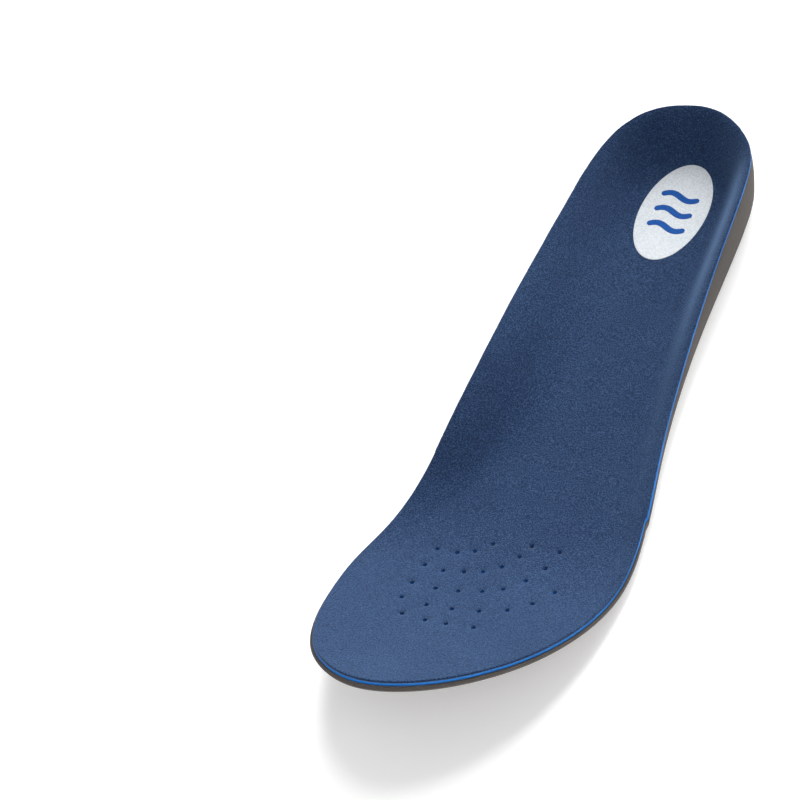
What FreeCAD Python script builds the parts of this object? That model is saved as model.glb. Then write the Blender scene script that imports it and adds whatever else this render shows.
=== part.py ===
"""Cushioned insole for a left shoe, EU size 42.

A laminate of separate sheets on a moulded EVA shell, each a node of its own: velour top cover, bond
film, cushion foam, bond film and base shell. A kidney-shaped gel pad is glued into the underside of the
heel, and a printed label is welded to the cover in the heel cup.

Frame: +X towards the inner (big toe) side, +Y towards the toes, +Z up. The insole stands on the pad and
on the ball of the base, and the origin is at the bottom centre of its box.

The shape is drawn flat first, as u (across), s (heel to toe) and h (height above the underside), and
bent() then carries it onto the curved length of the insole.
"""
import math
import os

import FreeCAD
import Part

# Driving dimensions, in millimetres and radians
INSOLE_LENGTH = 274.0

COVER_THICK = 0.7
FILM_THICK = 0.15
FOAM_THICK = 0.9
FOREFOOT_THICK = 3.8
HEEL_FLOOR = 8.0

BEND_START = 163.0
BEND_END = 210.0
BEND_ANGLE = 0.40
TOE_CURL = 0.16

PAD_PROUD = 0.8
PAD_RECESS_DEPTH = 2.6
PAD_GAP = 0.35
PAD_EDGE_ROUND = 0.5
PAD_GLUE_THICK = 0.15

VENT_RADIUS = 1.2
COVER_VENT_RADIUS = 0.8

LABEL_LENGTH = 44.0
LABEL_WIDTH = 25.6
LABEL_THICK = 0.15
LABEL_CENTRE = (-2.0, 36.0)
PRINT_THICK = 0.08
WAVE_WIDTH = 15.0
WAVE_HEIGHT = 1.3
WAVE_STROKE = 2.4
WAVE_SPACING = 7.0

# How finely the bent length is stepped, from behind the heel
LINE_START = -12.0
LINE_STEP = 0.5
# The grid of nested rings that every face over the whole insole follows: how far in from the rim the
# outer rings lie, how many rings there are, and how many points run across and along
RIM_INSETS = [0.0, 1.2, 2.5, 4.0, 6.0, 8.0, 10.5, 13.0, 16.0, 19.0, 22.0]
RINGS = 13
ACROSS = 2 * RINGS - 1
ALONG = 61
# Each side of the rim runs between two of the rim stations
SIDES = {"heel": (28, 32), "inner": (2, 13), "toe": (17, 13), "outer": (28, 17)}
# The outer wall from the rim down: share of the foot inset, share of the foot corner, share of the height
WALL_LEVELS = [(0.0, 0.0, 1.0), (0.0, 0.0, 0.9), (0.1, 0.0, 0.65), (0.6, 0.0, 0.3), (1.0, 0.0, 0.0),
               (1.0, 1.0, 0.0)]
# The foot of the outer wall is rounded over this part of the rim's height
FOOT_CORNER = 0.25

# The rim of the insole seen from above, from the back of the heel along the inner side to the toe and
# back along the outer side: u, s, height of the rim, width of the inner slope, inset of the foot.
RIM_STATIONS = [
    (0.0, -0.5, 24.0, 14.0, 5.0),
    (15.0, 4.0, 24.0, 14.0, 5.5),
    (24.5, 14.5, 23.5, 14.0, 6.0),
    (29.5, 31.0, 22.5, 15.0, 7.0),
    (31.0, 56.0, 22.5, 18.0, 9.0),
    (32.0, 86.0, 23.0, 24.0, 12.0),
    (33.0, 115.0, 22.0, 25.0, 12.0),
    (35.5, 142.0, 17.0, 20.0, 9.0),
    (39.5, 162.0, 9.0, 14.0, 4.0),
    (44.0, 182.0, 4.5, 10.0, 1.2),
    (47.0, 203.0, 3.8, 8.0, 0.8),
    (45.5, 224.0, 3.8, 8.0, 0.8),
    (41.0, 243.0, 3.8, 8.0, 0.8),
    (33.0, 259.0, 3.8, 8.0, 0.8),
    (21.5, 269.5, 3.8, 8.0, 0.8),
    (8.5, 273.5, 3.8, 8.0, 0.8),
    (-5.0, 269.5, 3.8, 8.0, 0.8),
    (-17.5, 260.0, 3.8, 8.0, 0.8),
    (-28.5, 246.5, 3.8, 8.0, 0.8),
    (-37.0, 231.0, 3.8, 8.0, 0.8),
    (-43.0, 212.0, 3.8, 8.0, 0.8),
    (-45.5, 191.0, 4.8, 8.0, 0.9),
    (-44.5, 170.0, 7.0, 9.0, 1.2),
    (-41.0, 149.0, 8.5, 10.0, 1.8),
    (-36.5, 121.0, 11.0, 10.0, 2.5),
    (-33.5, 90.0, 15.5, 11.0, 2.8),
    (-32.3, 60.0, 21.0, 12.0, 2.8),
    (-30.5, 28.0, 24.0, 13.0, 2.8),
    (-25.0, 12.0, 24.0, 14.0, 3.4),
    (-14.0, 2.5, 24.0, 14.0, 4.3),
]
# The gel pad's outline: the heel strikes on the outer side, so the pad reaches further forward there,
# and its front edge is hollow.
PAD_STATIONS = [
    (-2.0, 14.0),
    (9.5, 17.5),
    (18.0, 26.0),
    (20.5, 36.5),
    (16.5, 46.0),
    (7.5, 56.0),
    (3.0, 66.0),
    (-4.0, 74.5),
    (-14.0, 74.0),
    (-21.5, 65.0),
    (-24.5, 50.0),
    (-23.5, 33.0),
    (-15.0, 19.0),
]
# The vents, row by row from the ball to the toe, each row from the inner side to the outer side.
VENT_ROWS = [
    [(23.0, 191.5), (15.5, 191.0), (10.0, 188.5), (5.5, 183.5)],
    [(23.0, 201.0), (15.5, 201.5), (8.5, 200.0), (2.5, 197.5), (-2.5, 193.0), (-6.0, 186.5), (-8.0, 180.5)],
    [(22.0, 212.0), (13.0, 212.0), (5.0, 210.5), (-2.5, 208.0), (-8.5, 204.0), (-13.5, 197.0),
     (-17.0, 189.0), (-18.5, 180.5)],
    [(21.0, 221.0), (11.0, 222.0), (2.0, 221.0), (-7.0, 218.5), (-15.5, 214.5), (-21.5, 208.0),
     (-25.5, 199.5)],
    [(16.0, 229.5), (7.0, 230.5), (-0.5, 229.5), (-10.0, 228.0)],
]


def ease(x):
    """A smooth step from 0 to 1."""
    x = min(1.0, max(0.0, x))
    return x * x * (3.0 - 2.0 * x)


def slope_angle(s):
    """Angle of the length line to the floor: flat to the ball, then the bend and the toe curl."""
    bend = BEND_ANGLE * ease((s - BEND_START) / (BEND_END - BEND_START))
    curl = TOE_CURL * max(0.0, (s - BEND_END) / (INSOLE_LENGTH - BEND_END))
    return bend + curl


def length_line(start, end, step):
    """The bent length line as a list of (s, y, z, angle)."""
    line = []
    y = start
    z = 0.0
    count = int(round((end - start) / step))
    for i in range(count + 1):
        s = start + i * step
        line.append((s, y, z, slope_angle(s)))
        middle = slope_angle(s + step / 2)
        y += step * math.cos(middle)
        z += step * math.sin(middle)
    return line


LINE = length_line(LINE_START, INSOLE_LENGTH + 12.0, LINE_STEP)


def bent(u, s, h):
    """The point of the insole that lies at u, s and height h on the flat drawing."""
    place = (s - LINE_START) / LINE_STEP
    i = min(len(LINE) - 2, max(0, int(place)))
    part = place - i
    y = LINE[i][1] + part * (LINE[i + 1][1] - LINE[i][1])
    z = LINE[i][2] + part * (LINE[i + 1][2] - LINE[i][2])
    angle = slope_angle(s)
    return FreeCAD.Vector(u, y - h * math.sin(angle), z + h * math.cos(angle))


def closed_curve(points):
    """A smooth closed curve through the points, one unit of parameter from each to the next."""
    curve = Part.BSplineCurve()
    curve.interpolate(Points=points, PeriodicFlag=True, Parameters=[float(i) for i in range(len(points) + 1)])
    return curve


RIM_SHAPE = closed_curve([FreeCAD.Vector(u, s, rim) for u, s, rim, slope, inset in RIM_STATIONS])
RIM_SIDES = closed_curve([FreeCAD.Vector(u, slope, inset) for u, s, rim, slope, inset in RIM_STATIONS])


def rim_at(side, part):
    """The rim at a part of the way along one of its four sides.

    Gives u, s, rim height, slope width, foot inset and the outward direction.
    """
    start, end = SIDES[side]
    t = (start + part * (end - start)) % len(RIM_STATIONS)
    point = RIM_SHAPE.value(t)
    widths = RIM_SIDES.value(t)
    tangent = RIM_SHAPE.tangent(t)[0]
    norm = math.hypot(tangent.x, tangent.y)
    return point.x, point.y, point.z, widths.y, widths.z, tangent.y / norm, -tangent.x / norm


def foot_floor(s):
    """Height of the flat tread of the cup, thick under the heel and thin under the toes."""
    return HEEL_FLOOR + (FOREFOOT_THICK - HEEL_FLOOR) * ease((s - 70.0) / 120.0)


def underside(s):
    """Height of the base's underside: the heel is held up by the pad, the ball is on the floor."""
    return PAD_PROUD * (1.0 - ease((s - 80.0) / 70.0))


def inset_place(side, part, step):
    """The u, s that lies a step in from the rim."""
    u, s, rim, slope, inset, out_u, out_s = rim_at(side, part)
    return u - step * out_u, s - step * out_s


def spine_place(side, part):
    """The u, s on the middle line of the insole that a place on the rim looks at."""
    along = {"heel": 0.0, "toe": 1.0}.get(side, part)
    inner = inset_place("inner", along, RIM_INSETS[-1])
    outer = inset_place("outer", along, RIM_INSETS[-1])
    return (inner[0] + outer[0]) / 2, (inner[1] + outer[1]) / 2


def layer_point(side, part, ring, depth):
    """A point the given depth below the cover's upper face; ring 0 is the rim, the last the spine."""
    u, s, rim, slope, inset, out_u, out_s = rim_at(side, part)
    if ring < len(RIM_INSETS):
        step = RIM_INSETS[ring]
        u -= step * out_u
        s -= step * out_s
        low = foot_floor(s)
        x = max(0.0, 1.0 - step / slope)
        steep = (rim - low) * 6.0 * x * (1.0 - x) / slope
        return bent(u, s, low + (rim - low) * ease(x) - depth * math.sqrt(1.0 + steep ** 2))
    u, s = inset_place(side, part, RIM_INSETS[-1])
    middle = spine_place(side, part)
    share = (ring - len(RIM_INSETS) + 1) / (RINGS - len(RIM_INSETS))
    u += share * (middle[0] - u)
    s += share * (middle[1] - s)
    return bent(u, s, foot_floor(s) - depth)


def wall_point(side, part, level, depth):
    """A point on the outer wall, from level 0 under the rim to the last level at the wall's foot."""
    lean, corner, height = WALL_LEVELS[level]
    u, s, rim, slope, inset, out_u, out_s = rim_at(side, part)
    move = lean * inset + corner * FOOT_CORNER * rim
    u -= move * out_u
    s -= move * out_s
    low = underside(s)
    return bent(u, s, low + height * (rim - depth - low))


def underside_point(side, part, ring):
    """A point on the underside; ring 0 is the foot of the wall, the last ring the spine."""
    u, s, rim, slope, inset, out_u, out_s = rim_at(side, part)
    move = inset + FOOT_CORNER * rim
    u -= move * out_u
    s -= move * out_s
    middle = spine_place(side, part)
    share = ring / (RINGS - 1)
    u += share * (middle[0] - u)
    s += share * (middle[1] - s)
    return bent(u, s, underside(s))


def spline_face(poles):
    """A smooth face that follows a grid of points."""
    knots = []
    mults = []
    degrees = []
    for count in (len(poles), len(poles[0])):
        degree = min(3, count - 1)
        spans = count - degree
        degrees.append(degree)
        knots.append([float(i) for i in range(spans + 1)])
        mults.append([degree + 1] + [1] * (spans - 1) + [degree + 1])
    surface = Part.BSplineSurface()
    surface.buildFromPolesMultsKnots(
        poles, mults[0], mults[1], knots[0], knots[1], False, False, degrees[0], degrees[1])
    return surface.toShape()


def sheet_face(point):
    """A face over the whole insole; point(side, part, ring) gives each place on its nested rings."""
    poles = []
    for i in range(ACROSS):
        row = []
        for j in range(ALONG):
            ring = min(i, ACROSS - 1 - i, j, ALONG - 1 - j)
            wide = max(1, ACROSS - 1 - 2 * ring)
            long = ALONG - 1 - 2 * ring
            if j == ring:
                row.append(point("heel", (i - ring) / wide, ring))
            elif j == ALONG - 1 - ring:
                row.append(point("toe", (i - ring) / wide, ring))
            elif i == ring:
                row.append(point("outer", (j - ring) / long, ring))
            else:
                row.append(point("inner", (j - ring) / long, ring))
        poles.append(row)
    return spline_face(poles)


def side_faces(point, levels):
    """Four faces round the rim; point(side, part, level) gives each place on them."""
    faces = []
    for side, count in (("heel", ACROSS), ("inner", ALONG), ("toe", ACROSS), ("outer", ALONG)):
        faces.append(spline_face([
            [point(side, i / (count - 1), level) for level in range(levels)] for i in range(count)]))
    return faces


def solid_of(faces):
    """A closed solid sewn from faces that share their edges."""
    shell = Part.makeShell(faces)
    shell.sewShape()
    solid = Part.makeSolid(Part.Shell(shell.Faces))
    if solid.Volume < 0:
        solid.reverse()
    return solid


def cover_face(depth):
    """The face that lies the given depth below the cover's upper face."""
    return sheet_face(lambda side, part, ring: layer_point(side, part, ring, depth))


def layer(top_depth, bottom_depth):
    """One sheet of the laminate between two depths below the cover's upper face."""
    depths = [top_depth, bottom_depth]
    edges = side_faces(lambda side, part, level: layer_point(side, part, 0, depths[level]), 2)
    return solid_of([cover_face(top_depth), cover_face(bottom_depth)] + edges)


def base_blank(depth):
    """The base shell before its recess and vents are cut."""
    walls = side_faces(lambda side, part, level: wall_point(side, part, level, depth), len(WALL_LEVELS))
    return solid_of([cover_face(depth), sheet_face(underside_point)] + walls)


def pad_wire(grow, z):
    """The pad's outline, grown by a gap all round, as a flat wire at height z."""
    curve = closed_curve([FreeCAD.Vector(u, s, z) for u, s in PAD_STATIONS])
    places = []
    for i in range(3 * len(PAD_STATIONS)):
        tangent = curve.tangent(i / 3)[0]
        places.append(curve.value(i / 3) + grow * FreeCAD.Vector(tangent.y, -tangent.x, 0))
    return Part.Wire(closed_curve(places).toShape())


def prism(wire, height):
    """A solid straight up from a flat wire."""
    return Part.Face(wire).extrude(FreeCAD.Vector(0, 0, height))


def heel_pad():
    """The gel pad: it stands proud of the heel, with a rounded lower edge."""
    pad = prism(pad_wire(0.0, 0.0), PAD_PROUD + PAD_RECESS_DEPTH - PAD_GLUE_THICK)
    lower = [edge for edge in pad.Edges if edge.BoundBox.ZMax < 0.001]
    return pad.makeFillet(PAD_EDGE_ROUND, lower)


def heel_pad_glue():
    """The glue between the pad and the roof of its recess."""
    return prism(pad_wire(0.0, PAD_PROUD + PAD_RECESS_DEPTH - PAD_GLUE_THICK), PAD_GLUE_THICK)


def vent_pins(radius):
    """Pins through every vent, square to the bent forefoot."""
    pins = []
    for row in VENT_ROWS:
        for u, s in row:
            low = bent(u, s, -3.0)
            high = bent(u, s, 9.0)
            pins.append(Part.makeCylinder(radius, 12.0, low, high - low))
    return Part.makeCompound(pins)


def base_shell(depth):
    """The moulded EVA shell with the recess for the pad and the vents."""
    recess = prism(pad_wire(PAD_GAP, -1.0), 1.0 + PAD_PROUD + PAD_RECESS_DEPTH)
    return base_blank(depth).cut([recess, vent_pins(VENT_RADIUS)])


def on_the_cover(columns, lift, thick):
    """Sheets of the given thickness over the cover in the heel, where the columns stand."""
    low = cover_face(0.0)
    low.translate(FreeCAD.Vector(0, 0, lift))
    high = low.copy()
    high.translate(FreeCAD.Vector(0, 0, thick))
    sheets = []
    for column in columns:
        pieces = column.generalFuse([low, high])[1][0]
        sheets.append(sorted(pieces, key=lambda piece: piece.CenterOfMass.z)[1])
    return sheets


def label_column():
    """A tall oval prism over the label's place."""
    centre = FreeCAD.Vector(LABEL_CENTRE[0], LABEL_CENTRE[1], 4.0)
    oval = Part.Ellipse(centre + FreeCAD.Vector(0, LABEL_LENGTH / 2, 0),
                        centre + FreeCAD.Vector(LABEL_WIDTH / 2, 0, 0), centre)
    return prism(Part.Wire(oval.toShape()), 16.0)


def wave_column(row):
    """A tall prism over one printed wave; row counts from the middle of the label."""
    lines = []
    for side in (-0.5, 0.5):
        points = []
        for i in range(13):
            x = WAVE_WIDTH * (i / 12 - 0.5)
            y = row * WAVE_SPACING + WAVE_HEIGHT * math.sin(2 * math.pi * i / 12) + side * WAVE_STROKE
            points.append(FreeCAD.Vector(LABEL_CENTRE[0] + x, LABEL_CENTRE[1] + y, 4.0))
        curve = Part.BSplineCurve()
        curve.interpolate(points)
        lines.append((curve.toShape(), points[0], points[-1]))
    ends = [Part.makeLine(lines[0][k], lines[1][k]) for k in (1, 2)]
    edges = Part.__sortEdges__([lines[0][0], ends[0], lines[1][0], ends[1]])
    return prism(Part.Wire(edges), 16.0)


def build():
    """Every piece of the insole by name, with the heel's back at the origin."""
    foam_top = COVER_THICK + FILM_THICK
    foam_bottom = foam_top + FOAM_THICK
    base_top = foam_bottom + FILM_THICK
    pieces = {
        "top_cover": layer(0.0, COVER_THICK).cut(vent_pins(COVER_VENT_RADIUS)),
        "cover_bond_film": layer(COVER_THICK, foam_top).cut(vent_pins(VENT_RADIUS)),
        "cushion_foam": layer(foam_top, foam_bottom).cut(vent_pins(VENT_RADIUS)),
        "base_bond_film": layer(foam_bottom, base_top).cut(vent_pins(VENT_RADIUS)),
        "base_shell": base_shell(base_top),
        "heel_pad": heel_pad(),
        "heel_pad_glue": heel_pad_glue(),
        "heel_label": on_the_cover([label_column()], 0.0, LABEL_THICK)[0],
        "label_print": Part.makeCompound(
            on_the_cover([wave_column(row) for row in (-1, 0, 1)], LABEL_THICK, PRINT_THICK)),
    }
    return pieces


def main():
    pieces = build()
    box = Part.makeCompound(list(pieces.values())).BoundBox
    to_origin = FreeCAD.Vector(-(box.XMin + box.XMax) / 2, -(box.YMin + box.YMax) / 2, -box.ZMin)
    os.makedirs("parts", exist_ok=True)
    for name, shape in pieces.items():
        shape.translate(to_origin)
        shape.exportStep("parts/" + name + ".step")
        print(name, shape.isValid(), len(shape.Solids), round(shape.Volume), shape.BoundBox)
    print("moved by", to_origin)


main()
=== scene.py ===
"""A cushioned insole for a left shoe: the detailed pieces that stand for its CAD nodes.

Each piece is drawn in plan, as loops and points joined into triangles, and then lifted onto smooth
heights that ray casts read from the CAD nodes. Lengths are in millimetres in the model's own frame, and
become metres where a mesh is made. Lights and the camera are in metres.
"""
import math

import bmesh
import bpy
import numpy as np
from mathutils import Matrix, Vector, kdtree, noise
from mathutils.bvhtree import BVHTree
from mathutils.geometry import delaunay_2d_cdt


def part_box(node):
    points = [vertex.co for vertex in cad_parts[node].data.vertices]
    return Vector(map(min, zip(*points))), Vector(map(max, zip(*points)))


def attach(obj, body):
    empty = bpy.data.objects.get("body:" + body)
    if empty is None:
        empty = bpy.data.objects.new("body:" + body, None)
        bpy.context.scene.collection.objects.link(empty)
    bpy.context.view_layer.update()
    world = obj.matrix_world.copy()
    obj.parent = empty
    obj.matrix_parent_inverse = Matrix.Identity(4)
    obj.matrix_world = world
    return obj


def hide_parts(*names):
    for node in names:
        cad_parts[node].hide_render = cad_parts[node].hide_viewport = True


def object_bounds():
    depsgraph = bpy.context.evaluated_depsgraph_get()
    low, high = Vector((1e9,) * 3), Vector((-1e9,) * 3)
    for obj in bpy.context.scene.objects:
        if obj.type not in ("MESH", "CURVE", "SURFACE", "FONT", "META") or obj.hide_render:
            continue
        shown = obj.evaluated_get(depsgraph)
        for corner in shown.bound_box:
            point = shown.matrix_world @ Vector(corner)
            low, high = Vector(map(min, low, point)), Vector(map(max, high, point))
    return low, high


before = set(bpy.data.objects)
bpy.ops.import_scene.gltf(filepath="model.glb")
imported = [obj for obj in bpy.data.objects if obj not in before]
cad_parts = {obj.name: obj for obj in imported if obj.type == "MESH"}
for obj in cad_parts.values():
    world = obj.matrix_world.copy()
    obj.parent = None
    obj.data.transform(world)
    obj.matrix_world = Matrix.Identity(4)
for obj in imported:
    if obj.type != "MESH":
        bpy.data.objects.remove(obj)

cad_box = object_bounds()
MM = 0.001

# Points round the rim, and round the pad and its recess
RIM_COUNT = 480
PAD_COUNT = 150

# Vents: the hole in the cover, the hole in the layers below it, and the dimple round it
COVER_HOLE = 0.8
LAYER_HOLE = 1.2
DIMPLE_DEPTH = 0.34
DIMPLE_WIDTH = 1.7

# The sole's relief
TREAD_ACROSS = 2.45
TREAD_ALONG = 2.75
TREAD_DEPTH = 0.50
DASH_ANGLE = math.radians(47)
OVAL_SIZE = (4.6, 2.5)
RING_PLACE = (-8, 90)
TRIM_INSETS = (2.2, 5.2, 8.2)
TRIM_DEPTH = 0.26
EDGE_STEPS = ((-0.10, 0.0), (0.02, 0.20), (0.10, 0.35))     # out and up, at the base's top edge
TOE_FLARE = 0.80
LEDGE_OUT = 0.8
FLARE_REACH = 4.5


# ---------------------------------------------------------------- reading the frame

def cad_mesh(name):
    """A CAD node's mesh with its doubled points joined."""
    mesh = bmesh.new()
    mesh.from_mesh(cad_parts[name].data)
    bmesh.ops.remove_doubles(mesh, verts=mesh.verts, dist=1e-6)
    mesh.verts.ensure_lookup_table()
    return mesh


def cad_tree(name):
    """A ray-casting tree of a CAD node, in millimetres."""
    mesh = cad_mesh(name)
    points = [v.co / MM for v in mesh.verts]
    faces = [[v.index for v in f.verts] for f in mesh.faces]
    return BVHTree.FromPolygons(points, faces)


def sharp_loops(name, angle=0.8):
    """The closed loops of sharp edges of a CAD node, in millimetres."""
    mesh = cad_mesh(name)
    links = {}
    for edge in mesh.edges:
        if len(edge.link_faces) == 2 and edge.calc_face_angle(0) > angle:
            a, b = (v.index for v in edge.verts)
            links.setdefault(a, []).append(b)
            links.setdefault(b, []).append(a)
    loops = []
    seen = set()
    for start in sorted(links):
        if start in seen:
            continue
        loop = [start]
        seen.add(start)
        while True:
            ahead = [v for v in links[loop[-1]] if v not in seen]
            if not ahead:
                break
            loop.append(ahead[0])
            seen.add(ahead[0])
        loops.append(np.array([mesh.verts[i].co / MM for i in loop]))
    return loops


def loop_length(loop):
    return np.linalg.norm(loop - np.roll(loop, 1, axis=0), axis=1).sum()


def mean_height(loop):
    return loop[:, 2].mean()


def smooth_round(values, width):
    """A closed list smoothed along its first axis."""
    reach = int(3 * width) + 1
    weights = np.exp(-0.5 * (np.arange(-reach, reach + 1) / width) ** 2)
    weights /= weights.sum()
    return sum(w * np.roll(values, k, axis=0) for w, k in zip(weights, range(-reach, reach + 1)))


def resample(loop, count, smooth=1.0):
    """The loop as evenly spaced points of a smooth curve, anticlockwise from its lowest y."""
    x, y = loop[:, 0], loop[:, 1]
    if (x * np.roll(y, -1) - np.roll(x, -1) * y).sum() < 0:
        loop = loop[::-1]
    loop = np.roll(loop, -loop[:, 1].argmin(), axis=0)
    steps = np.linalg.norm(np.roll(loop, -1, axis=0) - loop, axis=1)
    tangents = (np.roll(loop, -1, axis=0) - np.roll(loop, 1, axis=0)) / (steps + np.roll(steps, 1))[:, None]
    along = np.r_[0, np.cumsum(steps)]
    places = along[-1] * np.arange(count) / count
    first = np.clip(np.searchsorted(along, places, side="right") - 1, 0, len(loop) - 1)
    second = (first + 1) % len(loop)
    span = steps[first][:, None]
    t = ((places - along[first]) / steps[first])[:, None]
    even = (
        (2 * t ** 3 - 3 * t ** 2 + 1) * loop[first]
        + (t ** 3 - 2 * t ** 2 + t) * span * tangents[first]
        + (3 * t ** 2 - 2 * t ** 3) * loop[second]
        + (t ** 3 - t ** 2) * span * tangents[second])
    return smooth_round(even, smooth)


def outward(loop):
    """The outward direction in plan at each point of an anticlockwise loop."""
    step = np.roll(loop, -1, axis=0)[:, :2] - np.roll(loop, 1, axis=0)[:, :2]
    normal = np.stack([step[:, 1], -step[:, 0]], axis=1)
    return normal / np.linalg.norm(normal, axis=1)[:, None]


def inset(loop, step):
    """The plan loop moved in by a step."""
    return loop[:, :2] - step * outward(loop)


def inside(points, loop):
    """Which plan points lie inside a plan loop."""
    x, y = points[:, 0][:, None], points[:, 1][:, None]
    ax, ay = loop[:, 0][None], loop[:, 1][None]
    bx, by = np.roll(loop[:, 0], -1)[None], np.roll(loop[:, 1], -1)[None]
    crosses = (ay > y) != (by > y)
    reach = ax + (y - ay) * (bx - ax) / np.where(by == ay, 1e-9, by - ay)
    return (crosses & (x < reach)).sum(axis=1) % 2 == 1


class Heights:
    """The upper or under face of a CAD node as a smooth height over x, y."""

    def __init__(self, name, within, below=False, flat_loop=None, flat_height=0.0):
        low, high = (np.array(corner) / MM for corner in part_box(name))
        tree = cad_tree(name)
        self.x0, self.y0 = low[0] - 6, low[1] - 6
        nx, ny = int(high[0] - low[0]) + 13, int(high[1] - low[1]) + 13
        gx, gy = np.meshgrid(self.x0 + np.arange(nx), self.y0 + np.arange(ny), indexing="ij")
        plan = np.stack([gx.ravel(), gy.ravel()], axis=1)
        wanted = inside(plan, within).reshape(nx, ny)
        grid = np.full((nx, ny), np.nan)
        start, way = (-100.0, 1) if below else (200.0, -1)
        for i, j in zip(*np.nonzero(wanted)):
            hit = tree.ray_cast(Vector((gx[i, j], gy[i, j], start)), Vector((0, 0, way)))
            if hit[0]:
                grid[i, j] = hit[0].z
        if flat_loop is not None:
            grid[inside(plan, flat_loop[:, :2]).reshape(nx, ny)] = np.nan
            grid[inside(plan, inset(flat_loop, 3.0)).reshape(nx, ny)] = flat_height
        self.grid = self.spread(grid, nx, ny)
        for axis in (0, 1, 0, 1):
            either_side = np.roll(self.grid, 1, axis) + np.roll(self.grid, -1, axis)
            self.grid = 0.5 * self.grid + 0.25 * either_side

    @staticmethod
    def spread(grid, nx, ny):
        """Carries the slope on past the edge of the known cells."""
        ways = [(a, b) for a in (-1, 0, 1) for b in (-1, 0, 1) if (a, b) != (0, 0)]
        for _ in range(9):
            padded = np.pad(grid, 2, constant_values=np.nan)
            carried = []
            for a, b in ways:
                near = padded[2 + a:2 + a + nx, 2 + b:2 + b + ny]
                far = padded[2 + 2 * a:2 + 2 * a + nx, 2 + 2 * b:2 + 2 * b + ny]
                carried.append(2 * near - far)
            carried = np.stack(carried)
            known = ~np.isnan(carried)
            mean = np.where(known, carried, 0).sum(axis=0) / np.maximum(known.sum(axis=0), 1)
            grid = np.where(np.isnan(grid) & known.any(axis=0), mean, grid)
        return np.where(np.isnan(grid), np.nanmean(grid), grid)

    def at(self, points):
        """Heights at plan points."""
        px = points[:, 0] - self.x0
        py = points[:, 1] - self.y0
        ix = np.clip(np.floor(px).astype(int), 1, self.grid.shape[0] - 3)
        iy = np.clip(np.floor(py).astype(int), 1, self.grid.shape[1] - 3)
        weights = []
        for t in (px - ix, py - iy):
            weights.append((
                ((-0.5 * t + 1.0) * t - 0.5) * t,
                (1.5 * t - 2.5) * t * t + 1.0,
                ((-1.5 * t + 2.0) * t + 0.5) * t,
                (0.5 * t - 0.5) * t * t))
        total = np.zeros(len(points))
        for a in range(4):
            for b in range(4):
                total += weights[0][a] * weights[1][b] * self.grid[ix + a - 1, iy + b - 1]
        return total

    def normals(self, points):
        """Upward unit normals at plan points."""
        gap = 0.6
        ex, ey = np.array([gap, 0]), np.array([0, gap])
        dx = (self.at(points + ex) - self.at(points - ex)) / (2 * gap)
        dy = (self.at(points + ey) - self.at(points - ey)) / (2 * gap)
        normal = np.stack([-dx, -dy, np.ones(len(points))], axis=1)
        return normal / np.linalg.norm(normal, axis=1)[:, None]

    def place(self, points, lift=0.0):
        """Points in space on the face, lifted along its upward normal."""
        base = np.column_stack([points, self.at(points)])
        return base + self.normals(points) * np.broadcast_to(lift, len(points))[:, None]


# ---------------------------------------------------------------- making meshes

class Plan:
    """Points, feature lines and loops in plan that are joined into triangles."""

    def __init__(self, outline):
        self.points = []
        self.lifts = []
        self.edges = []
        self.holes = []
        self.outline = self.loop(outline)

    def loop(self, points, lift=0.0, closed=True):
        """Adds a line of points with their lifts, and returns its place in the plan."""
        first = len(self.points)
        count = len(points)
        self.points.extend(np.asarray(points)[:, :2])
        self.lifts.extend(np.broadcast_to(lift, count))
        self.edges.extend((first + i, first + i + 1) for i in range(count - 1))
        if closed:
            self.edges.append((first + count - 1, first))
        return slice(first, first + count)

    def hole(self, points, lift=0.0):
        """Adds a loop that is left open."""
        place = self.loop(points, lift)
        self.holes.append(np.asarray(points)[:, :2])
        return place

    def fill(self, spacing, clear, lift_at=None):
        """Adds a honeycomb of points that keep clear of the features."""
        outline = np.array(self.points[self.outline])
        tree = kdtree.KDTree(len(self.points))
        for i, point in enumerate(self.points):
            tree.insert((point[0], point[1], 0.0), i)
        tree.balance()
        low, high = outline.min(axis=0), outline.max(axis=0)
        found = []
        rows = int((high[1] - low[1]) / (spacing * 0.866)) + 1
        for j in range(rows):
            y = low[1] + j * spacing * 0.866
            for x in np.arange(low[0] + 0.5 * spacing * (j % 2), high[0], spacing):
                found.append((x, y))
        found = np.array(found)
        found = found[inside(found, outline)]
        far = [p for p in found if tree.find((p[0], p[1], 0.0))[2] > clear]
        self.points.extend(far)
        self.lifts.extend(np.zeros(len(far)) if lift_at is None else lift_at(np.array(far)))

    def triangles(self):
        """Plan points, lifts, triangles, and where each given point went."""
        result = delaunay_2d_cdt([Vector(p) for p in self.points], self.edges, [], 0, 1e-5)
        points = np.array(result[0])
        faces = np.array(result[2])
        moved = np.full(len(self.points), -1)
        lifts = np.zeros(len(points))
        for new, olds in enumerate(result[3]):
            for old in olds:
                moved[old] = new
            if olds:
                lifts[new] = self.lifts[olds[0]]
        middle = points[faces].mean(axis=1)
        keep = inside(middle, np.array(self.points[self.outline]))
        for hole in self.holes:
            keep &= ~inside(middle, hole)
        return points, lifts, faces[keep], moved


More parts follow.
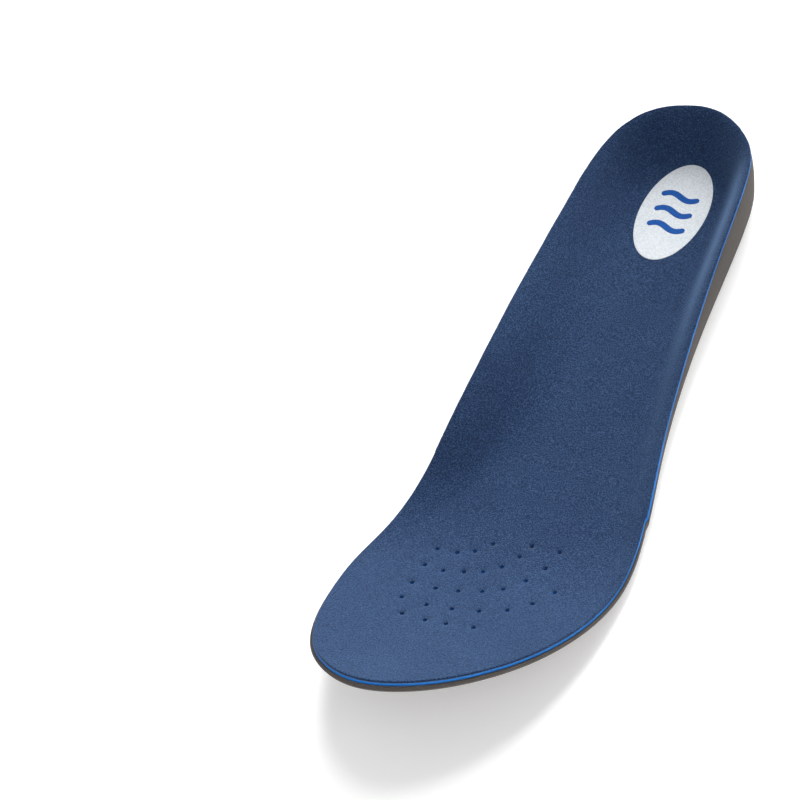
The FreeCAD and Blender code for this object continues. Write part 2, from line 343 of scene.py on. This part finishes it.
class Builder:
    """A mesh put together from points and faces."""

    def __init__(self):
        self.points = []
        self.faces = []

    def add(self, points):
        first = len(self.points)
        self.points.extend(np.asarray(points, float))
        return np.arange(first, first + len(points))

    def band(self, one, two):
        """Quads between two closed loops of the same count."""
        count = len(one)
        for i in range(count):
            j = (i + 1) % count
            self.faces.append((one[i], one[j], two[j], two[i]))

    def triangles(self, index, faces):
        self.faces.extend(tuple(index[f]) for f in faces)

    def finish(self, name, material, smooth_angle=0.9):
        """The object: used points only, normals outward, in metres."""
        mesh = bpy.data.meshes.new(name)
        faces = [tuple(int(k) for k in face) for face in self.faces]
        mesh.from_pydata([Vector(p) * MM for p in self.points], [], faces)
        work = bmesh.new()
        work.from_mesh(mesh)
        bmesh.ops.delete(work, geom=[v for v in work.verts if not v.link_faces], context="VERTS")
        bmesh.ops.remove_doubles(work, verts=work.verts, dist=1e-7)
        bmesh.ops.recalc_face_normals(work, faces=work.faces)
        for face in work.faces:
            face.smooth = True
        for edge in work.edges:
            edge.smooth = edge.calc_face_angle(0) < smooth_angle
        work.to_mesh(mesh)
        piece = bpy.data.objects.new(name, mesh)
        bpy.context.scene.collection.objects.link(piece)
        mesh.materials.append(material)
        return piece


def circle(centre, radius, count, turn=0.0):
    """A plan circle."""
    angles = turn + 2 * math.pi * np.arange(count) / count
    return np.stack([centre[0] + radius * np.cos(angles), centre[1] + radius * np.sin(angles)], axis=1)


def wobble(points, scale, seed):
    """Smooth noise from -1 to 1 at points, one patch about scale wide."""
    return np.array([noise.noise(Vector((p[0] / scale + seed, p[1] / scale, seed))) for p in points])


# ---------------------------------------------------------------- materials

def material(name, roughness, sheen=0.0, specular=0.5):
    """A principled material, its node tree, its shader and the object's own coordinates."""
    made = bpy.data.materials.new(name)
    made.use_nodes = True
    tree = made.node_tree
    shader = tree.nodes["Principled BSDF"]
    shader.inputs["Roughness"].default_value = roughness
    shader.inputs["Specular IOR Level"].default_value = specular
    if sheen:
        shader.inputs["Sheen Weight"].default_value = sheen
        shader.inputs["Sheen Roughness"].default_value = 0.45
    coords = tree.nodes.new("ShaderNodeTexCoord").outputs["Object"]
    return made, tree, shader, coords


def noise_value(tree, coords, scale, detail=3.0, stretch=(1, 1, 1)):
    """A noise texture's value; scale is patches per metre."""
    if stretch != (1, 1, 1):
        mapping = tree.nodes.new("ShaderNodeMapping")
        mapping.inputs["Scale"].default_value = stretch
        tree.links.new(coords, mapping.inputs["Vector"])
        coords = mapping.outputs["Vector"]
    node = tree.nodes.new("ShaderNodeTexNoise")
    node.inputs["Scale"].default_value = scale
    node.inputs["Detail"].default_value = detail
    tree.links.new(coords, node.inputs["Vector"])
    return node.outputs["Fac"]


def ramp(tree, value, stops):
    """A colour ramp over the value; stops are (place, colour)."""
    node = tree.nodes.new("ShaderNodeValToRGB")
    node.color_ramp.elements[0].position, node.color_ramp.elements[0].color = stops[0][0], (*stops[0][1], 1)
    node.color_ramp.elements[1].position, node.color_ramp.elements[1].color = stops[-1][0], (*stops[-1][1], 1)
    for place, colour in stops[1:-1]:
        node.color_ramp.elements.new(place).color = (*colour, 1)
    tree.links.new(value, node.inputs["Fac"])
    return node.outputs["Color"]


def mix(tree, kind, factor, one, two):
    """A colour mix of two colours or sockets."""
    node = tree.nodes.new("ShaderNodeMix")
    node.data_type = "RGBA"
    node.blend_type = kind
    node.inputs["Factor"].default_value = factor
    for socket, value in ((node.inputs["A"], one), (node.inputs["B"], two)):
        sockets = [s for s in node.inputs if s.name == socket.name and s.type == "RGBA"]
        if isinstance(value, tuple):
            sockets[0].default_value = (*value, 1)
        else:
            tree.links.new(value, sockets[0])
    return [s for s in node.outputs if s.type == "RGBA"][0]


def bump(tree, shader, value, depth, strength=1.0, after=None):
    """Fine relief on the shader; depth in metres."""
    node = tree.nodes.new("ShaderNodeBump")
    node.inputs["Strength"].default_value = strength
    node.inputs["Distance"].default_value = depth
    tree.links.new(value, node.inputs["Height"])
    if after:
        tree.links.new(after, node.inputs["Normal"])
    tree.links.new(node.outputs["Normal"], shader.inputs["Normal"])
    return node.outputs["Normal"]


def velour():
    """Short brushed navy pile: fine speckle, brushed patches and a soft sheen."""
    made, tree, shader, coords = material("navy_velour", 0.95, sheen=0.48, specular=0.10)
    speckle = noise_value(tree, coords, 2300, 2.0)
    fine = ramp(tree, speckle, [(0.32, (0.008, 0.018, 0.046)), (0.5, (0.017, 0.036, 0.088)),
                                (0.70, (0.042, 0.080, 0.170))])
    brushed = ramp(tree, noise_value(tree, coords, 60, 3.0, (1.0, 0.6, 1.0)),
                   [(0.3, (0.92, 0.92, 0.94)), (0.7, (1.08, 1.08, 1.06))])
    colour = mix(tree, "MULTIPLY", 1.0, fine, brushed)
    tree.links.new(colour, shader.inputs["Base Color"])
    shader.inputs["Sheen Tint"].default_value = (0.27, 0.44, 0.74, 1)
    first = bump(tree, shader, speckle, 0.00016, 0.8)
    bump(tree, shader, noise_value(tree, coords, 900, 2.0), 0.00012, 0.35, first)
    return made


def foam(name, low, middle, high, cells, roughness=0.7):
    """A moulded or cut foam: fine cells, slow colour change."""
    made, tree, shader, coords = material(name, roughness, specular=0.3)
    slow = noise_value(tree, coords, 45, 4.0)
    colour = ramp(tree, slow, [(0.30, low), (0.5, middle), (0.70, high)])
    pits = noise_value(tree, coords, cells, 3.0)
    pits_colour = ramp(tree, pits, [(0.3, (0.88, 0.88, 0.88)), (0.7, (1.06, 1.06, 1.06))])
    tree.links.new(mix(tree, "MULTIPLY", 1.0, colour, pits_colour), shader.inputs["Base Color"])
    rough = tree.nodes.new("ShaderNodeMapRange")
    rough.inputs["To Min"].default_value = roughness - 0.08
    rough.inputs["To Max"].default_value = roughness + 0.10
    tree.links.new(slow, rough.inputs["Value"])
    tree.links.new(rough.outputs["Result"], shader.inputs["Roughness"])
    bump(tree, shader, pits, 0.00012, 0.5)
    return made


def film(name, low, high, roughness, specular=0.5):
    """A thin printed or melted film with a faint grain."""
    made, tree, shader, coords = material(name, roughness, specular=specular)
    grain = noise_value(tree, coords, 1900, 2.0)
    tree.links.new(ramp(tree, grain, [(0.35, low), (0.65, high)]), shader.inputs["Base Color"])
    bump(tree, shader, grain, 0.00004, 0.5)
    return made


VELOUR = velour()
CUSHION = foam("blue_cushion_foam", (0.010, 0.150, 0.52), (0.014, 0.190, 0.64), (0.020, 0.230, 0.72), 2600)
EVA = foam("grey_eva", (0.064, 0.055, 0.050), (0.076, 0.066, 0.060), (0.090, 0.078, 0.071), 1500, 0.78)
PAD = foam("blue_pad", (0.040, 0.215, 0.52), (0.050, 0.255, 0.60), (0.062, 0.300, 0.68), 900, 0.55)
LABEL = film("label_film", (0.52, 0.56, 0.59), (0.66, 0.70, 0.73), 0.42)
INK = film("label_ink", (0.004, 0.060, 0.27), (0.008, 0.085, 0.34), 0.6, 0.12)
MELT = film("bond_film", (0.05, 0.10, 0.22), (0.08, 0.14, 0.28), 0.5)
GLUE = film("pad_glue", (0.30, 0.27, 0.20), (0.36, 0.33, 0.26), 0.45)


# ---------------------------------------------------------------- the frame's shapes

def layer(name, spot):
    """The highest and lowest z of a CAD node on the upright line through a plan point."""
    tree = cad_tree(name)
    top = tree.ray_cast(Vector((*spot, 200)), Vector((0, 0, -1)))[0]
    bottom = tree.ray_cast(Vector((*spot, -100)), Vector((0, 0, 1)))[0]
    return top.z, bottom.z


cover_loops = sorted(sharp_loops("top_cover"), key=loop_length)
rim = resample(max(cover_loops[-2:], key=mean_height), RIM_COUNT)
VENTS = []
for loop in cover_loops[:-2]:
    spot = loop[:, :2].mean(axis=0)
    if all(math.hypot(*(spot - other)) > 2.5 for other in VENTS):
        VENTS.append(spot)
COVER = Heights("top_cover", rim[:, :2])

label_low, label_high = (np.array(corner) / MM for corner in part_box("heel_label"))
label_middle = (label_low + label_high)[:2] / 2
floor_top, cover_under = layer("top_cover", label_middle)
foam_top, foam_under = (floor_top - z for z in layer("cushion_foam", label_middle))
base_top = floor_top - layer("base_shell", label_middle)[0]
cover_thick = floor_top - cover_under



def rise(values, start, end):
    """0 to 1 smoothly over start to end."""
    t = np.clip((values - start) / (end - start), 0, 1)
    return t * t * (3 - 2 * t)


# The base's edge flares out round the toe, and both sides end in a small ledge before it
toe_share = rise(rim[:, 1], 18, 62)
ledge_end = np.where(rim[:, 0] < 0, 30.0, 24.0)
ledge = rise(rim[:, 1], ledge_end - 34, ledge_end - 4) * (rim[:, 1] < ledge_end)
ledge *= np.where(rim[:, 0] < 0, 1.0, 0.6)


# ---------------------------------------------------------------- top cover

def puckers(points):
    """How far the brushed cover dips toward each vent, with a slow unevenness of the pile."""
    lift = 0.05 * wobble(points, 9.0, 3.1) + 0.02 * wobble(points, 3.0, 7.7)
    for vent in VENTS:
        reach = np.hypot(points[:, 0] - vent[0], points[:, 1] - vent[1])
        lift -= DIMPLE_DEPTH * np.exp(-(reach / DIMPLE_WIDTH) ** 2)
    return lift


def make_cover():
    """The velour sheet: dimpled round each vent, with a rounded, slightly frayed cut edge."""
    plan = Plan(inset(rim, 0.55))
    for step in (1.3, 2.3, 3.6):
        ring = inset(rim, step)
        plan.loop(ring, puckers(ring) * min(1.0, step / 3))
    hole_places = []
    for k, vent in enumerate(VENTS):
        turn = 0.7 * k
        for radius in (2.6, 2.0, 1.5, 1.12):
            ring = circle(vent, radius, 20, turn)
            plan.loop(ring, puckers(ring))
        hole = circle(vent, COVER_HOLE, 20, turn)
        hole_places.append(plan.hole(hole, puckers(hole) - 0.10))
    plan.fill(1.5, 0.75, puckers)
    points, lifts, faces, moved = plan.triangles()
    made = Builder()
    upper = made.add(COVER.place(points, lifts))
    lower = made.add(COVER.place(points, -cover_thick))
    made.triangles(upper, faces)
    made.triangles(lower, faces[:, ::-1])
    for hole in hole_places:
        made.band(upper[moved[hole]], lower[moved[hole]])
    normal = COVER.normals(rim[:, :2])
    out = np.column_stack([outward(rim), np.zeros(RIM_COUNT)])
    out -= normal * (out * normal).sum(axis=1)[:, None]
    out /= np.linalg.norm(out, axis=1)[:, None]
    edge = COVER.place(rim[:, :2])
    fray = 0.05 * wobble(rim[:, :2], 1.6, 5.0)
    last = upper[moved[plan.outline]]
    for step, drop in ((-0.26, 0.015), (-0.07, 0.10), (0.0, 0.26), (0.0, 0.48), (-0.10, 0.66)):
        ring = made.add(edge + out * (step + fray + 0.45 * ledge)[:, None] - normal * drop)
        made.band(last, ring)
        last = ring
    made.band(last, lower[moved[plan.outline]])
    return made.finish("cover_velour", VELOUR)


cover = make_cover()
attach(cover, "root")
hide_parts("top_cover")


# ---------------------------------------------------------------- cushion foam

def make_foam():
    """The cushion foam: its cut edge bulges a little and is rough."""
    loops = sorted(sharp_loops("cushion_foam"), key=loop_length)[-2:]
    upper_edge = resample(max(loops, key=mean_height), RIM_COUNT)
    lower_edge = resample(min(loops, key=mean_height), RIM_COUNT)
    plan = Plan(inset(rim, 1.2))
    hole_places = [plan.hole(circle(vent, LAYER_HOLE, 16)) for vent in VENTS]
    plan.fill(3.0, 1.2)
    points, _, faces, moved = plan.triangles()
    made = Builder()
    upper = made.add(COVER.place(points, -foam_top))
    lower = made.add(COVER.place(points, -foam_under))
    made.triangles(upper, faces)
    made.triangles(lower, faces[:, ::-1])
    for hole in hole_places:
        made.band(upper[moved[hole]], lower[moved[hole]])
    last = upper[moved[plan.outline]]
    out = np.column_stack([outward(rim), np.zeros(RIM_COUNT)])
    for share, bulge in ((0.0, -0.08), (0.12, 0.02), (0.35, 0.10), (0.65, 0.10), (0.88, 0.02), (1.0, -0.08)):
        places = upper_edge * (1 - share) + lower_edge * share
        rough = 0.06 * wobble(places[:, :2] + 31 * share, 0.9, 11.0) + 0.05 * wobble(places[:, :2], 6.0, 2.0)
        ring = made.add(places + out * (bulge + rough + 0.6 * ledge)[:, None])
        made.band(last, ring)
        last = ring
    made.band(last, lower[moved[plan.outline]])
    return made.finish("cushion_layer", CUSHION)


cushion = make_foam()
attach(cushion, "root")
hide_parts("cushion_foam")


# ---------------------------------------------------------------- base shell

base_loops = sorted(sharp_loops("base_shell"), key=loop_length)
base_rim = resample(base_loops[-1], RIM_COUNT)
recess = resample(min(base_loops[-3:-1], key=mean_height), PAD_COUNT)
recess_roof = mean_height(max(base_loops[-3:-1], key=mean_height))
foot_level = recess[:, 2].min()
BASE = cad_tree("base_shell")


def under_z(point):
    """Height of the base's under face at a plan point."""
    hit = BASE.ray_cast(Vector((point[0], point[1], -100)), Vector((0, 0, 1)))[0]
    return hit.z if hit else None


def foot_insets():
    """How far in from the rim the wall has turned into the under face."""
    out = outward(base_rim)
    found = []
    for i in range(RIM_COUNT):
        heights = [under_z(base_rim[i, :2] - d * out[i]) for d in np.arange(0.5, 24, 0.5)]
        turned = 10.0
        for k in range(len(heights) - 4):
            here, there = heights[k], heights[k + 3]
            if here is not None and there is not None and abs(here - there) < 0.9:
                turned = 0.5 + 0.5 * k
                break
        found.append(turned)
    reach = np.linalg.norm(base_rim[:, None, :2] - recess[None, :, :2], axis=2).min(axis=1)
    steps = np.minimum(smooth_round(np.array(found), 4) + 1.5, reach - 1.9)
    return smooth_round(steps, 2)


def wall_profiles(levels=18, rays=70):
    """Loops down the outer wall, closer together where it turns."""
    out = outward(base_rim)
    steps = foot_insets()
    loops = np.zeros((levels, RIM_COUNT, 3))
    for i in range(RIM_COUNT):
        spot = base_rim[i, :2] - steps[i] * out[i]
        low = under_z(spot)
        focus = Vector((spot[0], spot[1], low + 0.8))
        start = math.atan2(base_rim[i, 2] - focus.z, steps[i])
        line = [base_rim[i]]
        for angle in np.linspace(start, -math.pi / 2, rays)[1:]:
            way = Vector((out[i, 0] * math.cos(angle), out[i, 1] * math.cos(angle), math.sin(angle)))
            hit = BASE.ray_cast(focus + way * 90, -way)[0]
            if hit:
                line.append(np.array(hit))
        line = np.array(line)
        step = np.diff(line, axis=0)
        length = np.linalg.norm(step, axis=1)
        heading = step / np.maximum(length, 1e-6)[:, None]
        turn = np.r_[0, np.arccos(np.clip((heading[1:] * heading[:-1]).sum(axis=1), -1, 1))]
        weight = length / length.sum() + 1.1 * turn / max(turn.sum(), 0.3)
        along = np.r_[0, np.cumsum(weight)]
        places = np.linspace(0, along[-1], levels)
        loops[:, i] = np.stack([np.interp(places, along, line[:, k]) for k in range(3)], axis=1)
    for k in range(1, levels):
        loops[k] = smooth_round(loops[k], 1.6)
    return loops


walls = wall_profiles()
bottom = walls[-1]
UNDER = Heights("base_shell", bottom[:, :2] + 1.4 * outward(bottom), below=True,
                flat_loop=recess, flat_height=foot_level)
heel_y = rim[:, 1].min()
centre_ys = np.arange(heel_y + 20, rim[:, 1].max() - 3, 1.0)
centre_zs = UNDER.at(np.stack([np.zeros(len(centre_ys)), centre_ys], axis=1))
centre_lengths = 20 + np.r_[0, np.cumsum(np.hypot(np.diff(centre_ys), np.diff(centre_zs)))]
middle_x = (base_rim[:, 0].min() + base_rim[:, 0].max()) / 2 - 0.8


def placed(points):
    """Plan points from distances measured along the flat blank: across it, and forward from the heel."""
    points = np.asarray(points, float)
    return np.stack([points[:, 0] + middle_x, np.interp(points[:, 1], centre_lengths, centre_ys)], axis=1)


def capsule(centre, heading, half_length, half_width, count=3):
    """A short rounded dash."""
    turns = np.linspace(-math.pi / 2, math.pi / 2, count + 1)
    ends = [(half_length - half_width + half_width * math.cos(t), half_width * math.sin(t)) for t in turns]
    ends += [(-x, -y) for x, y in ends]
    c, s = math.cos(heading), math.sin(heading)
    return np.array([(centre[0] + c * x - s * y, centre[1] + s * x + c * y) for x, y in ends])


TREAD_OUTLINE = [(37, 160), (36, 153), (31, 149), (23, 152), (14, 156), (-2, 161), (-23, 162), (-36, 168),
                 (-39, 176), (-38, 188), (-33, 203), (-17, 222), (-4, 238), (2, 240), (10, 240), (18, 236),
                 (23, 229), (27, 218), (31, 200), (36, 176)]
ARCH_OVALS = [(21, 129, 0.25), (17.5, 116.5, 0.12), (15, 104, 0.0), (15, 91.5, -0.05), (16.5, 79.5, -0.2)]


def make_base():
    """The EVA moulding: relief on the sole, the outer wall, the recess for the pad and the vents."""
    plan = Plan(bottom)
    plan.loop(inset(bottom, 1.3))
    for step, lift in ((-1.1, 0.0), (-0.45, 0.04), (-0.12, 0.16)):
        plan.loop(inset(recess, step), lift)
    recess_place = plan.hole(inset(recess, 0.0), 0.42)
    vent_places = []
    for vent in VENTS:
        plan.loop(circle(vent, 1.55, 16))
        plan.loop(circle(vent, 1.28, 16), 0.05)
        vent_places.append(plan.hole(circle(vent, LAYER_HOLE, 16), 0.25))
    tread = placed(TREAD_OUTLINE)
    safe = inset(bottom, 2.6)
    for j in range(34):
        for i in range(-18, 19):
            centre = placed([(TREAD_ACROSS * i, 147 + TREAD_ALONG * j)])
            near_vent = min(math.hypot(*(centre[0] - vent)) for vent in VENTS)
            if not (inside(centre, tread)[0] and inside(centre, safe)[0]) or near_vent < 2.9:
                continue
            heading = DASH_ANGLE if (i + j) % 2 else -DASH_ANGLE
            plan.loop(capsule(centre[0], heading, 1.38, 0.46))
            plan.loop(capsule(centre[0], heading, 1.20, 0.27), TREAD_DEPTH)
    for u, s, heading in ARCH_OVALS:
        centre = placed([(u, s)])[0]
        for grow, lift in ((0.42, 0.0), (0.05, 0.34), (-0.32, 0.02)):
            oval = circle((0, 0), 1.0, 36) * (OVAL_SIZE[0] + grow, OVAL_SIZE[1] + grow)
            c, d = math.cos(heading), math.sin(heading)
            plan.loop(oval @ np.array([[c, d], [-d, c]]) + centre, lift)
    ring_middle = placed([RING_PLACE])[0]
    for radius, lift in ((6.7, 0.0), (6.3, 0.22), (5.9, 0.0)):
        plan.loop(circle(ring_middle, radius, 48), lift)
    toe = np.nonzero(bottom[:, 1] > placed([(0, 222)])[0, 1])[0]
    for step in TRIM_INSETS:
        fade = np.clip(np.minimum(np.arange(len(toe)), np.arange(len(toe))[::-1]) / 6, 0, 1)
        for side, lift in ((-0.34, 0.0), (0.0, TRIM_DEPTH), (0.34, 0.0)):
            plan.loop(inset(bottom, step + side)[toe], lift * fade, closed=False)
    plan.fill(2.6, 1.1)
    points, lifts, faces, moved = plan.triangles()
    made = Builder()
    heights = UNDER.at(points) + lifts + 0.03 * wobble(points, 14.0, 6.0)
    under = made.add(np.column_stack([points, heights]))
    made.triangles(under, faces[:, ::-1])

    top_plan = Plan(inset(base_rim, 1.0))
    top_vents = [top_plan.hole(circle(vent, LAYER_HOLE, 16)) for vent in VENTS]
    top_plan.fill(4.0, 1.5)
    top_points, _, top_faces, top_moved = top_plan.triangles()
    top = made.add(COVER.place(top_points, -base_top))
    made.triangles(top, top_faces)
    for lower, upper in zip(vent_places, top_vents):
        made.band(under[moved[lower]], top[top_moved[upper]])

    last = top[top_moved[top_plan.outline]]
    out = np.column_stack([outward(base_rim), np.zeros(RIM_COUNT)])
    normal = COVER.normals(rim[:, :2])
    # The top edge stands a little over the foam's edge, and out past the CAD base round the toe.
    for pull, lift in EDGE_STEPS:
        flare = (pull + TOE_FLARE * toe_share + LEDGE_OUT * ledge)[:, None]
        ring = made.add(walls[0] + out * flare + normal * lift)
        made.band(last, ring)
        last = ring
    for k, loop in enumerate(walls[1:-1], start=1):
        fuzz = 0.03 * wobble(loop[:, :2] + 7 * k, 5.0, 4.0)
        away = np.linalg.norm(loop - walls[0], axis=1)
        flare = (0.20 + 1.00 * toe_share + LEDGE_OUT * ledge) * np.exp(-away / FLARE_REACH)
        ring = made.add(loop + out * (fuzz + flare)[:, None])
        made.band(last, ring)
        last = ring
    made.band(last, under[moved[plan.outline]])

    last = under[moved[recess_place]]
    shape = inset(recess, 0.0)
    for z in (foot_level + 1.2, recess_roof - 0.5, recess_roof - 0.12):
        ring = made.add(np.column_stack([shape, np.maximum(recess[:, 2] + 0.6, z)]))
        made.band(last, ring)
        last = ring
    roof_plan = Plan(inset(recess, 0.3))
    roof_plan.fill(4.0, 1.5)
    roof_points, _, roof_faces, roof_moved = roof_plan.triangles()
    roof = made.add(np.column_stack([roof_points, np.full(len(roof_points), recess_roof)]))
    made.triangles(roof, roof_faces[:, ::-1])
    made.band(last, roof[roof_moved[roof_plan.outline]])
    return made.finish("base_moulding", EVA)


base = make_base()
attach(base, "root")
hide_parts("base_shell")


# ---------------------------------------------------------------- heel pad

def make_pad():
    """The soft pad: rounded round its lower edge and crowned, so that its middle stands on the floor."""
    outline = resample(sharp_loops("heel_pad")[0], PAD_COUNT)
    pad_top = mean_height(outline)
    plan = Plan(inset(outline, 1.5))
    for step in (2.6, 4.2):
        plan.loop(inset(outline, step))
    plan.fill(2.4, 1.1)
    points, _, faces, moved = plan.triangles()
    ring_tree = kdtree.KDTree(len(outline))
    for i, point in enumerate(outline):
        ring_tree.insert((point[0], point[1], 0), i)
    ring_tree.balance()
    depth = np.array([ring_tree.find((p[0], p[1], 0))[2] for p in points])
    crown = 0.20 * np.exp(-(depth - 1.5) / 3.2) + 0.025 * (1 + wobble(points, 7.0, 9.0))
    made = Builder()
    face = made.add(np.column_stack([points, crown]))
    made.triangles(face, faces[:, ::-1])
    back = made.add(np.column_stack([points, np.full(len(points), pad_top)]))
    made.triangles(back, faces)
    last = face[moved[plan.outline]]
    rounding = [
        (1.0, 0.30), (0.55, 0.46), (0.22, 0.72), (0.05, 1.05), (0.0, 1.5), (0.0, 2.4), (0.05, pad_top)]
    for step, z in rounding:
        ring = made.add(np.column_stack([inset(outline, step), np.full(PAD_COUNT, z)]))
        made.band(last, ring)
        last = ring
    made.band(last, back[moved[plan.outline]])
    return made.finish("heel_pad_soft", PAD)


pad = make_pad()
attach(pad, "root")
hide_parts("heel_pad")


# ---------------------------------------------------------------- label and its print

def make_label():
    """The thin oval transfer, with soft edges that follow the cover."""
    outline = resample(max(sharp_loops("heel_label"), key=mean_height), 200, 0.6)
    plan = Plan(inset(outline, 0.12))
    for step in (0.5, 1.3):
        plan.loop(inset(outline, step))
    plan.fill(1.5, 0.7)
    points, _, faces, moved = plan.triangles()
    lift = label_thick + 0.02 * wobble(points, 8.0, 21.0)
    made = Builder()
    upper = made.add(COVER.place(points, lift))
    lower = made.add(COVER.place(points, -0.05))
    made.triangles(upper, faces)
    made.triangles(lower, faces[:, ::-1])
    last = upper[moved[plan.outline]]
    for step, height in ((0.03, label_thick * 0.8), (0.0, label_thick * 0.4), (0.02, -0.04)):
        ring = made.add(COVER.place(inset(outline, step), height))
        made.band(last, ring)
        last = ring
    made.band(last, lower[moved[plan.outline]])
    return made.finish("label_sticker", LABEL)


def make_print():
    """Three plain printed waves on the label."""
    low, high = (np.array(corner)[:2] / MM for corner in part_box("label_print"))
    width = high[0] - low[0]
    stroke = 1.2
    swing = 1.3
    ways = np.linspace(0, 1, 49)
    made = Builder()
    for middle in np.linspace(low[1] + stroke + swing, high[1] - stroke - swing, 3):
        x = low[0] + width * ways
        y = middle + swing * np.sin(2 * math.pi * ways)
        line = np.stack([x, y], axis=1)
        heading = np.gradient(line, axis=0)
        heading /= np.linalg.norm(heading, axis=1)[:, None]
        side = np.stack([-heading[:, 1], heading[:, 0]], axis=1)
        taper = np.sqrt(np.clip(1 - (2 * ways - 1) ** 16, 0, 1)) * stroke
        rows = []
        for share, height in ((-1, 0.02), (-0.97, 0.07), (0, 0.08), (0.97, 0.07), (1, 0.02)):
            rows.append(made.add(COVER.place(line + side * (share * taper)[:, None], label_thick + height)))
        for one, two in zip(rows, rows[1:]):
            made.faces.extend((one[k], one[k + 1], two[k + 1], two[k]) for k in range(48))
        floor_row = [made.add(COVER.place(line + side * (share * taper)[:, None], label_thick - 0.04))
                     for share in (1, -1)]
        chain = [rows[-1], *floor_row, rows[0]]
        for one, two in zip(chain, chain[1:]):
            made.faces.extend((one[k], one[k + 1], two[k + 1], two[k]) for k in range(48))
    return made.finish("label_waves", INK)


label_thick = layer("heel_label", label_middle)[0] - floor_top
sticker = make_label()
waves = make_print()
for piece, node, slot_name in ((sticker, "heel_label", "label_film"), (waves, "label_print", "label_ink")):
    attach(piece, "root")
    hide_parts(node)


# ---------------------------------------------------------------- CAD nodes that stay

def repaint(name, made):
    """Gives a CAD node one of the materials above."""
    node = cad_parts[name]
    node.data.materials.clear()
    node.data.materials.append(made)


repaint("cover_bond_film", MELT)
repaint("base_bond_film", MELT)
repaint("heel_pad_glue", GLUE)


# ---------------------------------------------------------------- floor, light, camera

def make_floor(level):
    """A pale floor that lights and looks from below pass through, so that the sole can be seen."""
    mesh = bpy.data.meshes.new("floor")
    mesh.from_pydata([(-4, -4, level), (4, -4, level), (4, 4, level), (-4, 4, level)], [], [(0, 1, 2, 3)])
    ground = bpy.data.objects.new("floor", mesh)
    bpy.context.scene.collection.objects.link(ground)
    made, tree, shader, coords = material("pale_floor", 0.9, specular=0.1)
    shade = noise_value(tree, coords, 6.0, 2.0)
    pale = ramp(tree, shade, [(0.3, (0.86, 0.86, 0.86)), (0.7, (0.88, 0.88, 0.88))])
    tree.links.new(pale, shader.inputs["Base Color"])
    tree.links.new(pale, shader.inputs["Emission Color"])
    shader.inputs["Emission Strength"].default_value = 0.28
    back = tree.nodes.new("ShaderNodeNewGeometry").outputs["Backfacing"]
    shadow = tree.nodes.new("ShaderNodeLightPath").outputs["Is Shadow Ray"]
    either = tree.nodes.new("ShaderNodeMath")
    either.operation = "MAXIMUM"
    tree.links.new(back, either.inputs[0])
    tree.links.new(shadow, either.inputs[1])
    clear = tree.nodes.new("ShaderNodeBsdfTransparent")
    blend = tree.nodes.new("ShaderNodeMixShader")
    tree.links.new(either.outputs["Value"], blend.inputs["Fac"])
    tree.links.new(shader.outputs["BSDF"], blend.inputs[1])
    tree.links.new(clear.outputs["BSDF"], blend.inputs[2])
    tree.links.new(blend.outputs["Shader"], tree.nodes["Material Output"].inputs["Surface"])
    mesh.materials.append(made)
    return ground


def make_light(name, place, aim, size, power, spread=math.pi):
    """A round soft light at a place, turned toward a point."""
    light = bpy.data.lights.new(name, "AREA")
    light.shape = "DISK"
    light.size = size
    light.energy = power
    light.spread = spread
    lamp = bpy.data.objects.new(name, light)
    lamp.location = place
    lamp.rotation_euler = (Vector(aim) - Vector(place)).to_track_quat("-Z", "Y").to_euler()
    bpy.context.scene.collection.objects.link(lamp)


low, high = (Vector(corner) for corner in cad_box)
make_floor(low.z - 0.00015)
make_light("key", (0.02, -1.15, 0.56), (0, 0.04, 0.01), 1.0, 23.0)
make_light("fill", (-0.80, 0.40, 0.75), (0, 0, 0), 0.9, 3.0)
make_light("toe", (0.00, -0.25, 0.88), (0.0, 0.120, 0.03), 0.34, 0.12, 0.42)
make_light("under", (0.45, 0.10, -0.85), (0, 0, 0), 0.6, 6.0)

world = bpy.data.worlds.new("studio")
world.use_nodes = True
world.node_tree.nodes["Background"].inputs["Color"].default_value = (1.0, 1.0, 1.0, 1)
world.node_tree.nodes["Background"].inputs["Strength"].default_value = 0.55
bpy.context.scene.world = world
bpy.context.scene.view_settings.view_transform = "Standard"

camera_data = bpy.data.cameras.new("camera")
camera_data.lens = 158.57
camera_data.sensor_width = 36
camera_data.clip_end = 20
camera = bpy.data.objects.new("camera", camera_data)
right = Vector((-0.8712, -0.4096, -0.2708))
forward = Vector((0.4558, -0.4697, -0.7560))
up = right.cross(forward)
turn = Matrix((right, up, -forward)).transposed()
camera.matrix_world = Matrix.Translation((-0.5017, 0.5851, 0.9423)) @ turn.to_4x4()
bpy.context.scene.collection.objects.link(camera)
bpy.context.scene.camera = camera
